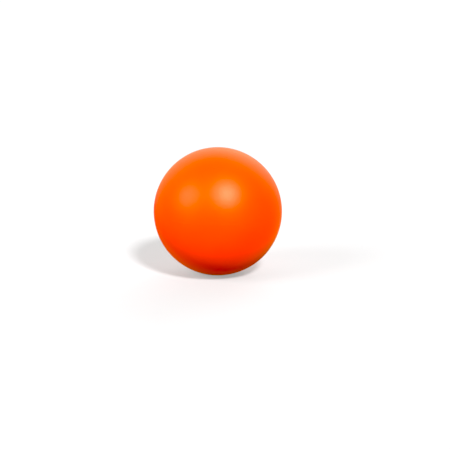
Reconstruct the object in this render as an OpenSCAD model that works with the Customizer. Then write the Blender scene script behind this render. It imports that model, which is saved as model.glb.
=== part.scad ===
// Squeezable foam stress ball.
// One moulding of polyurethane foam, soft in the middle and dense at the surface, sprayed with a
// flexible colour coat. Every layer is bonded to the one below it, so faces meet with no clearance.
// The ball stands on the small flat where its gate was trimmed: the origin is the middle of that
// flat and +Z runs up through the middle of the ball. Each layer is divided at the plane where the
// two mould halves met, so that the upper half can travel down towards the lower one.
// All sizes are in millimetres.

/* [Ball] */
// Diameter of the finished ball
ball_d = 70; // [50:1:100]
// Diameter of the flat at the bottom, on which the ball rests
rest_flat_d = 10; // [6:0.5:14]

/* [Colour coat] */
// Thickness of the sprayed colour coat
coat_t = 0.2; // [0.1:0.05:0.5]

/* [Foam skin] */
// Thickness of the dense skin that the foam forms against the mould
skin_t = 1.4; // [0.8:0.1:3]

/* [Parting line] */
// Width of the fine rib that the joint of the mould leaves round the ball
rib_w = 0.5; // [0.3:0.05:1]
// Height that the rib stands proud after trimming
rib_h = 0.04; // [0.02:0.01:0.1]

/* [Gate] */
// Diameter of the trimmed stub that fills the gate hole in the skin
gate_d = 8; // [4:0.5:12]

/* [Hidden] */

$fn = 180;

coat_colour = [1.0, 0.30, 0.02];
skin_colour = [0.93, 0.80, 0.52];
core_colour = [0.97, 0.90, 0.70];
plug_colour = [0.88, 0.72, 0.42];

ball_r = ball_d / 2;
rest_flat_r = rest_flat_d / 2;
gate_r = gate_d / 2;

// The flat cuts a shallow cap off the sphere, so the centre stands a little lower than the radius
centre_h = sqrt(ball_r * ball_r - rest_flat_r * rest_flat_r);

// Depths of the layer boundaries below the finished surface
skin_depth = coat_t;
core_depth = coat_t + skin_t;

// Half of the ball's outline at a depth below the finished surface: sphere and flat
module outline(depth) {
    intersection() {
        translate([0, centre_h]) circle(r = ball_r - depth);
        translate([0, depth]) square([ball_d, ball_d]);
    }
}

// The same outline with the parting rib on it
module ribbed_outline(depth) {
    intersection() {
        union() {
            outline(depth);
            translate([0, centre_h - rib_w / 2]) square([ball_r - depth + rib_h, rib_w]);
        }
        translate([0, depth]) square([ball_d, ball_d]);
    }
}

// Everything in the half plane below the parting plane
module below_parting() {
    square([ball_d, centre_h]);
}

// Everything in the half plane above the parting plane
module above_parting() {
    translate([0, centre_h]) square([ball_d, ball_d]);
}

// The gate hole through the skin at the bottom
module gate_hole() {
    square([gate_r, centre_h]);
}

module coat_section() {
    difference() {
        ribbed_outline(0);
        ribbed_outline(skin_depth);
    }
}

module skin_section() {
    difference() {
        ribbed_outline(skin_depth);
        outline(core_depth);
    }
}

// Lower half of the soft open-cell foam
module lower_core() {
    color(core_colour)
        rotate_extrude() intersection() {
            outline(core_depth);
            below_parting();
        }
}

// Upper half of the soft open-cell foam
module upper_core() {
    color(core_colour)
        rotate_extrude() intersection() {
            outline(core_depth);
            above_parting();
        }
}

// Lower half of the dense skin, open at the gate
module lower_skin() {
    color(skin_colour)
        rotate_extrude() difference() {
            intersection() {
                skin_section();
                below_parting();
            }
            gate_hole();
        }
}

// Upper half of the dense skin
module upper_skin() {
    color(skin_colour)
        rotate_extrude() intersection() {
            skin_section();
            above_parting();
        }
}

// Lower half of the colour coat, closed over the gate
module lower_coat() {
    color(coat_colour)
        rotate_extrude() intersection() {
            coat_section();
            below_parting();
        }
}

// Upper half of the colour coat
module upper_coat() {
    color(coat_colour)
        rotate_extrude() intersection() {
            coat_section();
            above_parting();
        }
}

// Stub of foam that set in the gate, trimmed level with the skin
module gate_plug() {
    color(plug_colour)
        rotate_extrude() intersection() {
            skin_section();
            gate_hole();
        }
}

lower_core();
upper_core();
lower_skin();
upper_skin();
lower_coat();
upper_coat();
gate_plug();
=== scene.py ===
"""Foam stress ball: one soft moulding under a sprayed orange coat, with the studio it stands in."""

import math

import bmesh
import bpy
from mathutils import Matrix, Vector
from mathutils import noise as blend_noise


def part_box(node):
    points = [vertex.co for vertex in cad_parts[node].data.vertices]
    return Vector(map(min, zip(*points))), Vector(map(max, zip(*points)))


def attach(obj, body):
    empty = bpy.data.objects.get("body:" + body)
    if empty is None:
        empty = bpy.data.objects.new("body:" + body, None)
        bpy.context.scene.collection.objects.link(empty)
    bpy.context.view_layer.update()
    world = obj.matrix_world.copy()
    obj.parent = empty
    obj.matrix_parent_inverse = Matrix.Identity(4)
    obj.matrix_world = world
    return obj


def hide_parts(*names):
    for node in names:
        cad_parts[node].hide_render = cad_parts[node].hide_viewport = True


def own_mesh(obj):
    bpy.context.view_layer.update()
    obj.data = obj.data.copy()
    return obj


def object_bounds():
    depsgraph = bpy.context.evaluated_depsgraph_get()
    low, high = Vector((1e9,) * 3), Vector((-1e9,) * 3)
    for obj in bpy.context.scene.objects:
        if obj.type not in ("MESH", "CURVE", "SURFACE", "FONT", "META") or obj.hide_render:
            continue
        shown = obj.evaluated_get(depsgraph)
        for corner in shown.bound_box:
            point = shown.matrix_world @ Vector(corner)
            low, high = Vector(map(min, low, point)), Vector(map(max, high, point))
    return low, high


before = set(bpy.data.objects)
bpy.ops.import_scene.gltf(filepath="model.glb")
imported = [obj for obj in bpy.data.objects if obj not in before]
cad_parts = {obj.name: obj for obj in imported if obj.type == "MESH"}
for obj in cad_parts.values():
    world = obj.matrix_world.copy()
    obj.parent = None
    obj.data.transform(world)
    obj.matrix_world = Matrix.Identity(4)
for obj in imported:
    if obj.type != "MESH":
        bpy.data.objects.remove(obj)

cad_low, cad_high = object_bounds()

# ---- Camera --------------------------------------------------------------------------------------
# A long portrait lens a little above the ball and square to it, far enough back that the ball keeps
# its round outline, and aimed a little below and to the right of the ball's centre. The centre is at
# the height where the two mould halves met.
scene = bpy.context.scene
parting_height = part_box("lower_coat")[1].z
ball_centre = Vector((0, 0, parting_height))
camera_lift = math.radians(12)
camera_distance = 0.5809
camera_lens = 85
aim_right, aim_down = 0.0039, 0.0075
nearest_seen = 0.01

to_camera = Vector((0, -math.cos(camera_lift), math.sin(camera_lift)))
camera_up = Vector((0, math.sin(camera_lift), math.cos(camera_lift)))
camera_right = Vector((1, 0, 0))
camera_data = bpy.data.cameras.new("studio_camera")
camera_data.lens = camera_lens
camera_data.clip_start = nearest_seen
camera = bpy.data.objects.new("studio_camera", camera_data)
scene.collection.objects.link(camera)
camera.location = ball_centre + to_camera * camera_distance
aim = ball_centre + camera_right * aim_right - camera_up * aim_down
camera.rotation_mode = "QUATERNION"
camera.rotation_quaternion = (aim - camera.location).to_track_quat("-Z", "Y")
scene.camera = camera

# ---- Studio --------------------------------------------------------------------------------------
# A pale paper sweep under the ball, a white surround that is darker in front of it and below, and
# three round soft boxes: the key to the upper right of the camera, a weaker one to its left, and a
# fill behind. The coat's gloss mirrors the surround and not the paper, so its underside stays deep.
black_level = (0.05, 0.05, 0.07)
white_seen = 1.3
sweep_size = 40.0
paper_grey = (0.27, 0.27, 0.27, 1)
paper_glow = (0.4, 0.4, 0.4, 1)

scene.view_settings.view_transform = "Standard"
scene.view_settings.use_curve_mapping = True
grading = scene.view_settings.curve_mapping
grading.black_level = black_level
grading.update()

world = bpy.data.worlds.new("white_surround")
world.use_nodes = True
air = world.node_tree
direction = air.nodes.new("ShaderNodeSeparateXYZ")
air.links.new(air.nodes.new("ShaderNodeTexCoord").outputs["Generated"], direction.inputs[0])


def grows_with(axis, first, last, low, high):
    """A strength that goes smoothly from low to high as a direction turns along an axis."""
    range_node = air.nodes.new("ShaderNodeMapRange")
    range_node.interpolation_type = "SMOOTHSTEP"
    air.links.new(direction.outputs[axis], range_node.inputs["Value"])
    range_node.inputs["From Min"].default_value = first
    range_node.inputs["From Max"].default_value = last
    range_node.inputs["To Min"].default_value = low
    range_node.inputs["To Max"].default_value = high
    return range_node.outputs["Result"]


def times(first, second):
    """The product of two strengths."""
    product = air.nodes.new("ShaderNodeMath")
    product.operation = "MULTIPLY"
    air.links.new(first, product.inputs[0])
    air.links.new(second, product.inputs[1])
    return product.outputs[0]


behind = grows_with("Y", first=0.0, last=0.8, low=0.05, high=0.65)
above = grows_with("Z", first=0.0, last=0.55, low=1.0, high=2.6)
below = grows_with("Z", first=-0.45, last=0.0, low=0.6, high=1.0)
seen = air.nodes.new("ShaderNodeLightPath")
strength = air.nodes.new("ShaderNodeMix")
air.links.new(seen.outputs["Is Camera Ray"], strength.inputs["Factor"])
air.links.new(times(times(behind, above), below), strength.inputs["A"])
strength.inputs["B"].default_value = white_seen
surround = air.nodes["Background"]
surround.inputs["Color"].default_value = (1, 1, 1, 1)
air.links.new(strength.outputs[0], surround.inputs["Strength"])
scene.world = world


def soft_box(name, right, up, forward, half_angle, strength):
    """A round soft box far off, in a direction that is given in the camera's own axes."""
    lamp = bpy.data.lights.new(name, "SUN")
    lamp.angle = 2 * math.radians(half_angle)
    lamp.energy = strength
    box = bpy.data.objects.new(name, lamp)
    scene.collection.objects.link(box)
    direction = camera_right * right + camera_up * up + to_camera * forward
    box.location = ball_centre + direction.normalized()
    box.rotation_mode = "QUATERNION"
    box.rotation_quaternion = (ball_centre - box.location).to_track_quat("-Z", "Y")
    return box


soft_box("key_box", right=0.268, up=0.495, forward=0.827, half_angle=5.0, strength=6.0)
soft_box("left_box", right=-0.766, up=0.383, forward=0.517, half_angle=17.0, strength=2.95)
fill = soft_box("back_fill", right=0.33, up=0.50, forward=-0.80, half_angle=25.0, strength=2.4)
fill.visible_glossy = False

bpy.ops.mesh.primitive_plane_add(size=sweep_size)
sweep = bpy.context.object
sweep.name = "paper_sweep"
paper = bpy.data.materials.new("white_paper")
paper.use_nodes = True
sheet = paper.node_tree
paper_shader = sheet.nodes["Principled BSDF"]
paper_shader.inputs["Base Color"].default_value = paper_grey
paper_shader.inputs["Roughness"].default_value = 0.9
paper_shader.inputs["Specular IOR Level"].default_value = 0.0
paper_shader.inputs["Emission Color"].default_value = paper_glow
looked_at = sheet.nodes.new("ShaderNodeLightPath")
sheet.links.new(looked_at.outputs["Is Camera Ray"], paper_shader.inputs["Emission Strength"])
sweep.data.materials.append(paper)
sweep.visible_glossy = False

# ---- Colour coat ---------------------------------------------------------------------------------
# A flexible polyurethane paint, sprayed over the whole moulding in one satin orange layer. It
# follows the foam below it: the fine rib of the parting line, the flat where the gate was trimmed,
# and the slight swells and hollows of a soft moulding.
ball_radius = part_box("upper_coat")[1].z - parting_height
coat_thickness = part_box("upper_coat")[1].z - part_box("upper_skin")[1].z
gate_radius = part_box("gate_plug")[1].x
rib_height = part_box("upper_coat")[1].x - ball_radius
meeting_distance = 1e-6


class Sum:
    """A number on its way through a node tree, so that a rule can be written as plain sums."""

    def __init__(self, tree, socket):
        self.tree, self.socket = tree, socket

    def through(self, operation, *others):
        node = self.tree.nodes.new("ShaderNodeMath")
        node.operation = operation
        for place, value in zip(node.inputs, (self, *others)):
            feed(self.tree, place, value)
        return Sum(self.tree, node.outputs[0])

    def __add__(self, other):
        return self.through("ADD", other)

    def __sub__(self, other):
        return self.through("SUBTRACT", other)

    def __mul__(self, other):
        return self.through("MULTIPLY", other)

    def __truediv__(self, other):
        return self.through("DIVIDE", other)


def feed(tree, place, value):
    """Joins a node's input to a sum or a socket, or sets it to a plain value."""
    if isinstance(value, Sum):
        value = value.socket
    if isinstance(value, bpy.types.NodeSocket):
        tree.links.new(value, place)
    else:
        place.default_value = value


def add_node(tree, kind, inputs=None, **settings):
    """A new node with its settings, and its inputs given by name."""
    node = tree.nodes.new(kind)
    for name, value in settings.items():
        setattr(node, name, value)
    for name, value in (inputs or {}).items():
        feed(tree, node.inputs[name], value)
    return node


def point_at(tree, x, y, z):
    """A point from its three parts."""
    return add_node(tree, "ShaderNodeCombineXYZ", {"X": x, "Y": y, "Z": z}).outputs[0]


def bell(distance, width):
    """1 where distance is nothing, falling smoothly to 0 on both sides over about one width."""
    share = distance / width
    return (share * share * -1.0).through("EXPONENT")


def noise(tree, place, scale, seed, detail=2.0):
    """Smooth noise from -1 to 1 at a place, with about scale swells to each unit of length."""
    node = add_node(
        tree,
        "ShaderNodeTexNoise",
        {"Vector": place, "W": seed, "Scale": scale, "Detail": detail},
        noise_dimensions="4D",
    )
    return Sum(tree, node.outputs["Fac"]) * 2.0 - 1.0


def new_tree(name, sizes):
    """An empty Geometry Nodes tree with named inputs, and a function that reads one as a sum."""
    tree = bpy.data.node_groups.new(name, "GeometryNodeTree")
    tree.interface.new_socket("Geometry", in_out="OUTPUT", socket_type="NodeSocketGeometry")
    for size, kind in sizes.items():
        tree.interface.new_socket(size, in_out="INPUT", socket_type="NodeSocket" + kind)
    given = tree.nodes.new("NodeGroupInput")
    return tree, lambda size: Sum(tree, given.outputs[size])


def flat_grid(tree, segments, rows):
    """A grid to be bent round the ball's axis: its mesh, the angle around and the row, 0 to 1."""
    grid = add_node(
        tree,
        "GeometryNodeMeshGrid",
        {"Size X": 1.0, "Size Y": 1.0, "Vertices X": segments + 1, "Vertices Y": rows},
    )
    here = tree.nodes.new("GeometryNodeInputPosition").outputs[0]
    flat = add_node(tree, "ShaderNodeSeparateXYZ", {"Vector": here})
    around = Sum(tree, flat.outputs["X"]) * math.tau
    row = Sum(tree, flat.outputs["Y"]) + 0.5
    return grid.outputs["Mesh"], around, row


def bent(tree, grid, position):
    """The grid with its points moved to their position, and closed where they meet."""
    moved = add_node(
        tree,
        "GeometryNodeSetPosition",
        {"Geometry": grid, "Position": position},
    )
    closed = add_node(
        tree,
        "GeometryNodeMergeByDistance",
        {"Geometry": moved.outputs[0], "Distance": meeting_distance},
    )
    return closed.outputs[0]


def end_tree(tree, shape, material):
    """Ends a tree: smooth, real geometry, with its material."""
    smooth = add_node(tree, "GeometryNodeSetShadeSmooth", {"Geometry": shape})
    real = add_node(tree, "GeometryNodeRealizeInstances", {"Geometry": smooth.outputs[0]})
    painted = add_node(
        tree,
        "GeometryNodeSetMaterial",
        {"Geometry": real.outputs[0], "Material": material},
    )
    end = tree.nodes.new("NodeGroupOutput")
    tree.links.new(painted.outputs[0], end.inputs[0])


def grown(name, tree, values):
    """The plain mesh object that a tree grows from its values, with the modifier gone."""
    blank = bpy.data.meshes.new(name + "_blank")
    piece = bpy.data.objects.new(name, blank)
    scene.collection.objects.link(piece)
    modifier = piece.modifiers.new("tree", "NODES")
    modifier.node_group = tree
    for item in tree.interface.items_tree:
        if item.in_out == "INPUT":
            modifier[item.identifier] = values[item.name]
    evaluated = piece.evaluated_get(bpy.context.evaluated_depsgraph_get())
    mesh = bpy.data.meshes.new_from_object(evaluated)
    piece.modifiers.remove(modifier)
    mesh.name = name
    piece.data = mesh
    bpy.data.meshes.remove(blank)
    return piece


def ball_surface(tree, size, depth, segments, rows, fine):
    """The ball's closed surface at a depth below the paint. Its rows bunch up round the trimmed
    gate and along the parting line, where the shape turns sharply."""
    grid, around, row = flat_grid(tree, segments, rows)
    bunching = add_node(tree, "ShaderNodeFloatCurve", {"Value": row})
    curve = bunching.mapping.curves[0]
    for share_of_rows, share_of_way_up in ((0.18, 0.055), (0.50, 0.490), (0.60, 0.510)):
        curve.points.new(share_of_rows, share_of_way_up)
    for point in curve.points:
        point.handle_type = "VECTOR"
    bunching.mapping.update()
    angle = Sum(tree, bunching.outputs[0]) * math.pi
    out, down = angle.through("SINE"), angle.through("COSINE")
    along_x, along_y = out * around.through("COSINE"), out * around.through("SINE")
    place = point_at(tree, along_x, along_y, down * -1.0)

    swell = noise(tree, place, scale=1.3, seed=size("Seed"))
    radius = size("Radius") - depth + swell * size("Swell")
    height = radius * down * -1.0
    if fine:
        rib_left, long_swing, short_swing = 0.75, 0.3, 0.2
        dimples = noise(tree, place, scale=7.0, seed=size("Seed") + 3.0)
        long_trim = noise(tree, place, scale=4.0, seed=size("Seed") + 5.0)
        short_trim = noise(tree, place, scale=26.0, seed=size("Seed") + 6.0)
        left_standing = long_trim * long_swing + rib_left + short_trim * short_swing
        rib = bell(height, size("Rib Width")) * size("Rib Height") * left_standing
        radius = radius + dimples * size("Dimples") + rib
        height = radius * down * -1.0
    ring = radius * out
    flat_level = size("Centre Height") * -1.0 + depth
    level = height.through("SMOOTH_MAX", flat_level, size("Flat Rounding"))
    if fine:
        near_bottom = -0.9
        recess_share = 0.5
        underneath = height.through("LESS_THAN", size("Radius") * near_bottom)
        groove = bell(ring - size("Gate Radius"), size("Groove Width")) * size("Gate Groove")
        on_stub = ring.through("LESS_THAN", size("Gate Radius"))
        sawn = noise(tree, place, scale=45.0, seed=size("Seed") + 7.0) * size("Cut Roughness")
        recess = size("Gate Groove") * recess_share + sawn
        level = level + underneath * (groove + on_stub * recess)
    position = point_at(tree, along_x * radius, along_y * radius, level + size("Centre Height"))
    return bent(tree, grid, position)


coat_sizes = {
    "Centre Height": "Float",
    "Radius": "Float",
    "Thickness": "Float",
    "Flat Rounding": "Float",
    "Gate Radius": "Float",
    "Gate Groove": "Float",
    "Groove Width": "Float",
    "Cut Roughness": "Float",
    "Rib Height": "Float",
    "Rib Width": "Float",
    "Swell": "Float",
    "Dimples": "Float",
    "Seed": "Float",
    "Segments": "Int",
    "Rows": "Int",
    "Inside Segments": "Int",
    "Inside Rows": "Int",
    "Material": "Material",
}
coat_tree, size = new_tree("sprayed_coat", coat_sizes)
outside = ball_surface(
    coat_tree,
    size,
    depth=0.0,
    segments=size("Segments"),
    rows=size("Rows"),
    fine=True,
)
inside = ball_surface(
    coat_tree,
    size,
    depth=size("Thickness"),
    segments=size("Inside Segments"),
    rows=size("Inside Rows"),
    fine=False,
)
inward = add_node(coat_tree, "GeometryNodeFlipFaces", {"Mesh": inside})
both = add_node(coat_tree, "GeometryNodeJoinGeometry")
coat_tree.links.new(outside, both.inputs[0])
coat_tree.links.new(inward.outputs[0], both.inputs[0])
end_tree(coat_tree, both.outputs[0], size("Material"))

coat_orange = (0.92, 0.044, 0.002, 1)
coat_light_orange = (0.94, 0.056, 0.002, 1)
# A darker red painted into the pinholes: painted shade in the pits.
coat_pinhole_shade = (0.55, 0.02, 0.001, 1)
coat_finish = {
    "Specular IOR Level": 0.45,
    "Specular Tint": (1.0, 1.0, 0.67, 1),
    "Sheen Weight": 0.12,
    "Sheen Roughness": 0.45,
    "Sheen Tint": (1.0, 0.65, 0.2, 1),
}
coat_roughness = 0.5
peel_height = 0.000022
grain_height = 0.000011
pinhole_depth = 0.00006


def new_material(name, finish):
    """A material with its tree, its shader set to a finish, and the object's own coordinates."""
    material = bpy.data.materials.new(name)
    material.use_nodes = True
    tree = material.node_tree
    shader = tree.nodes["Principled BSDF"]
    for part, value in finish.items():
        shader.inputs[part].default_value = value
    place = add_node(tree, "ShaderNodeTexCoord").outputs["Object"]
    return material, tree, shader, place


def spots(tree, place, scale, width):
    """Round spots scattered at a place, 1 in their middles, with about scale of them to a metre."""
    cells = add_node(tree, "ShaderNodeTexVoronoi", {"Vector": place, "Scale": scale})
    return bell(Sum(tree, cells.outputs["Distance"]), width)


def mix_colours(tree, share, first, second):
    """One colour turning into another as share goes from 0 to 1."""
    mix = add_node(tree, "ShaderNodeMix", data_type="RGBA")
    share_in, first_in, second_in = mix.inputs[0], mix.inputs[6], mix.inputs[7]
    feed(tree, share_in, share)
    feed(tree, first_in, first)
    feed(tree, second_in, second)
    return mix.outputs[2]


def finish_surface(tree, shader, colour, roughness, relief):
    """Gives a shader its colour, its roughness and its relief, which is a height in metres."""
    bump = add_node(tree, "ShaderNodeBump", {"Height": relief, "Distance": 1.0})
    feed(tree, shader.inputs["Base Color"], colour)
    feed(tree, shader.inputs["Roughness"], roughness)
    feed(tree, shader.inputs["Normal"], bump.outputs[0])


coat_paint, paint, coat_shader, place = new_material("orange_soft_coat", coat_finish)
clouds = noise(paint, place, scale=60.0, seed=1.0, detail=3.0)
peel = noise(paint, place, scale=620.0, seed=2.0, detail=2.0)
grain = noise(paint, place, scale=2600.0, seed=3.0, detail=1.0)
# Pinhole spots: real shallow pits in the relief and a little rougher, and in the colour a painted
# shade that darkens each pit.
pinhole_and_shade = spots(paint, place, scale=125.0, width=0.035)
tone = mix_colours(paint, clouds * 0.5 + peel * 0.1 + 0.5, coat_orange, coat_light_orange)
finish_surface(
    paint,
    coat_shader,
    colour=mix_colours(paint, pinhole_and_shade * 0.3, tone, coat_pinhole_shade),
    roughness=clouds * 0.03 + grain * 0.04 + pinhole_and_shade * 0.2 + coat_roughness,
    relief=peel * peel_height + grain * grain_height - pinhole_and_shade * pinhole_depth,
)

colour_coat = grown(
    "colour_coat",
    coat_tree,
    {
        "Centre Height": parting_height,
        "Radius": ball_radius,
        "Thickness": coat_thickness,
        "Flat Rounding": 0.0002,
        "Gate Radius": gate_radius,
        "Gate Groove": 0.00008,
        "Groove Width": 0.00018,
        "Cut Roughness": 0.00003,
        "Rib Height": rib_height,
        "Rib Width": 0.00018,
        "Swell": 0.00008,
        "Dimples": 0.000008,
        "Seed": 11.0,
        "Segments": 340,
        "Rows": 260,
        "Inside Segments": 102,
        "Inside Rows": 65,
        "Material": coat_paint,
    },
)
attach(colour_coat, "lower_half")
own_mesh(colour_coat)
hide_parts("lower_coat", "upper_coat")

# ---- Foam skin -----------------------------------------------------------------------------------
# The dense, closed skin that the polyurethane foam forms against the wall of the mould. It is one
# with the core; it is cut at the parting line here because a squeeze moves the two halves together.
skin_clearance = 0.0001
skin_depth = coat_thickness + skin_clearance
skin_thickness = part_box("upper_skin")[1].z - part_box("upper_core")[1].z - skin_clearance
half_gap = 0.00001
stub_clearance = 0.00003
gate_hole = gate_radius + stub_clearance
skin_segments = 180
skin_unevenness = 0.00001
skin_cream = (0.80, 0.60, 0.28, 1)
skin_pale = (0.84, 0.68, 0.37, 1)
skin_roughness = 0.62
pore_depth = 0.00002
cloud_height = 0.00002

foam_skin, skin, skin_shader, place = new_material("cream_foam_skin", {"Specular IOR Level": 0.4})
clouds = noise(skin, place, scale=90.0, seed=1.0, detail=4.0)
pore = spots(skin, place, scale=1400.0, width=0.25)
finish_surface(
    skin,
    skin_shader,
    colour=mix_colours(skin, clouds * 0.5 + 0.5, skin_cream, skin_pale),
    roughness=clouds * 0.06 + skin_roughness,
    relief=pore * -pore_depth + clouds * cloud_height,
)


def arc(radius, lowest, start, end, steps=70):
    """Points (out, up) on a trimmed circle about the ball's centre, by angle from straight down."""
    points = []
    for step in range(steps + 1):
        angle = start + (end - start) * step / steps
        height = parting_height - radius * math.cos(angle)
        points.append((radius * math.sin(angle), max(height, lowest)))
    return points


def turned(name, outline, segments, material, unevenness):
    """A closed solid turned from an outline of (out, up) points that closes on itself or on the
    axis, with its faces outwards."""
    on_axis = 1e-7
    unevenness_scale = 260
    sharpest_smooth = math.radians(40)
    mesh = bmesh.new()
    rings = []
    for out, up in outline:
        if out < on_axis:
            rings.append([mesh.verts.new((0, 0, up))])
            continue
        ring = []
        for segment in range(segments):
            turn = math.tau * segment / segments
            direction = Vector((math.cos(turn), math.sin(turn), 0))
            point = direction * out + Vector((0, 0, up))
            point -= direction * unevenness * (1 + blend_noise.noise(point * unevenness_scale))
            ring.append(mesh.verts.new(point))
        rings.append(ring)
    pairs = list(zip(rings, rings[1:]))
    if len(rings[0]) > 1:
        pairs.append((rings[-1], rings[0]))
    for lower, upper in pairs:
        if len(lower) == len(upper) == 1:
            continue
        for segment in range(segments):
            after = (segment + 1) % segments
            corners = [lower[segment % len(lower)], lower[after % len(lower)]]
            corners += [upper[after % len(upper)], upper[segment % len(upper)]]
            mesh.faces.new(dict.fromkeys(corners))
    bmesh.ops.recalc_face_normals(mesh, faces=mesh.faces)
    for face in mesh.faces:
        face.smooth = True
    for edge in mesh.edges:
        if edge.calc_face_angle(0) > sharpest_smooth:
            edge.smooth = False
    data = bpy.data.meshes.new(name)
    mesh.to_mesh(data)
    mesh.free()
    data.materials.append(material)
    piece = bpy.data.objects.new(name, data)
    scene.collection.objects.link(piece)
    return piece


def inside_half(piece, half, node):
    """Sends a hidden half of the foam with its body."""
    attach(piece, half)
    anchor = (0, 0, 0) if half == "lower_half" else (0, 0, cad_high.z)
    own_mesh(piece)
    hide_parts(node)


skin_outside = ball_radius - skin_depth
skin_inside = skin_outside - skin_thickness
skin_bottom, top_of_flat = skin_depth, skin_depth + skin_thickness
level_with_centre = math.pi / 2
gap_angle = half_gap / skin_outside
hole_outside = math.asin(gate_hole / skin_outside)
hole_inside = math.asin(gate_hole / skin_inside)
skin_outlines = {
    "lower": arc(skin_outside, skin_bottom, hole_outside, level_with_centre - gap_angle)
    + arc(skin_inside, top_of_flat, level_with_centre - gap_angle, hole_inside),
    "upper": arc(skin_outside, 0, level_with_centre + gap_angle, math.pi)
    + arc(skin_inside, 0, math.pi, level_with_centre + gap_angle),
}
for half, outline in skin_outlines.items():
    shell = turned(half + "_foam_skin", outline, skin_segments, foam_skin, skin_unevenness)
    inside_half(shell, half + "_half", half + "_skin")

# ---- Foam core -----------------------------------------------------------------------------------
# The soft open-cell polyurethane foam that fills the skin and gives the ball its slow spring. It is
# poured in one shot with the skin, and cut at the parting line here as the skin is.
core_gap = 0.00005
core_cream = (0.86, 0.74, 0.44, 1)
# A darker brown painted into the open cells: painted shade in the cell hollows.
core_hollow_shade = (0.66, 0.50, 0.24, 1)
core_roughness = 0.88
hollow_depth = 0.0002
core_sizes = {
    "Radius": "Float",
    "Centre Height": "Float",
    "Lowest": "Float",
    "Flat Rounding": "Float",
    "Half Gap": "Float",
    "Side": "Float",
    "Cut Face Share": "Float",
    "Cells Per Metre": "Float",
    "Cell Width": "Float",
    "Cell Depth": "Float",
    "Seed": "Float",
    "Segments": "Int",
    "Rows": "Int",
    "Material": "Material",
}
middle_share = 0.4
core_tree, size = new_tree("half_foam_core", core_sizes)
grid, around, row = flat_grid(core_tree, size("Segments"), size("Rows"))
across_face = (row / size("Cut Face Share")).through("MINIMUM", 1.0)
rows_left = size("Cut Face Share") * -1.0 + 1.0
up_dome = ((row - size("Cut Face Share")) / rows_left).through("MAXIMUM", 0.0) * (math.pi / 2)
ring = size("Radius") * across_face * up_dome.through("COSINE")
rise = size("Radius") * up_dome.through("SINE") + size("Half Gap")
height = size("Centre Height") + rise * size("Side")
height = height.through("SMOOTH_MAX", size("Lowest"), size("Flat Rounding"))
along_x, along_y = around.through("COSINE"), around.through("SINE")
cells = add_node(
    core_tree,
    "ShaderNodeTexVoronoi",
    {
        "Vector": point_at(core_tree, along_x * ring, along_y * ring, height),
        "W": size("Seed"),
        "Scale": size("Cells Per Metre"),
    },
    voronoi_dimensions="4D",
)
open_cell = bell(Sum(core_tree, cells.outputs["Distance"]), size("Cell Width"))
shrink = (open_cell * size("Cell Depth") / size("Radius")) * -1.0 + 1.0
middle = size("Centre Height") + size("Side") * size("Radius") * middle_share
position = point_at(
    core_tree,
    along_x * ring * shrink,
    along_y * ring * shrink,
    middle + (height - middle) * shrink,
)
core_shape = bent(core_tree, grid, position)
lower_side = size("Side").through("LESS_THAN", 0.0)
outward = add_node(
    core_tree,
    "GeometryNodeFlipFaces",
    {"Mesh": core_shape, "Selection": lower_side},
)
end_tree(core_tree, outward.outputs[0], size("Material"))

foam_core, foam, foam_shader, place = new_material("open_cell_foam", {"Specular IOR Level": 0.2})
clouds = noise(foam, place, scale=120.0, seed=1.0, detail=3.0)
# Cell spots: real hollows in the relief, and in the colour a painted shade that darkens each hollow,
# mixed with random cloudy tone.
hollow_and_shade = spots(foam, place, scale=1100.0, width=0.35)
finish_surface(
    foam,
    foam_shader,
    colour=mix_colours(foam, hollow_and_shade * 0.8 + clouds * 0.2, core_cream, core_hollow_shade),
    roughness=clouds * 0.04 + core_roughness,
    relief=hollow_and_shade * -hollow_depth,
)

for half, side in (("lower", -1.0), ("upper", 1.0)):
    core = grown(
        half + "_foam_core",
        core_tree,
        {
            "Radius": skin_inside - core_gap,
            "Centre Height": parting_height,
            "Lowest": top_of_flat + core_gap,
            "Flat Rounding": 0.0005,
            "Half Gap": half_gap,
            "Side": side,
            "Cut Face Share": 0.38,
            "Cells Per Metre": 420.0,
            "Cell Width": 0.45,
            "Cell Depth": 0.0006,
            "Seed": 21.0,
            "Segments": 200,
            "Rows": 150,
            "Material": foam_core,
        },
    )
    inside_half(core, half + "_half", half + "_core")

# ---- Gate stub -----------------------------------------------------------------------------------
# The end of the foam that stood in the mould's pouring gate, cut off flush before the coat is
# sprayed over it. It is solid skin foam, one with the skin round it.
stub_radius = gate_radius - stub_clearance
stub_bottom, stub_top = skin_bottom, top_of_flat
stub_segments = 96
stub_unevenness = 0.00002
crown = 0.00002
edge = 0.0003
corner = edge * 0.3
stub_outline = [
    (0, stub_bottom),
    (stub_radius * 0.5, stub_bottom + crown),
    (stub_radius - edge, stub_bottom),
    (stub_radius - corner, stub_bottom + corner),
    (stub_radius, stub_bottom + edge),
    (stub_radius, stub_top - edge),
    (stub_radius - corner, stub_top - corner),
    (stub_radius - edge, stub_top),
    (stub_radius * 0.5, stub_top),
    (0, stub_top),
]
gate_stub = turned("gate_stub", stub_outline, stub_segments, foam_skin, stub_unevenness)
inside_half(gate_stub, "lower_half", "gate_plug")
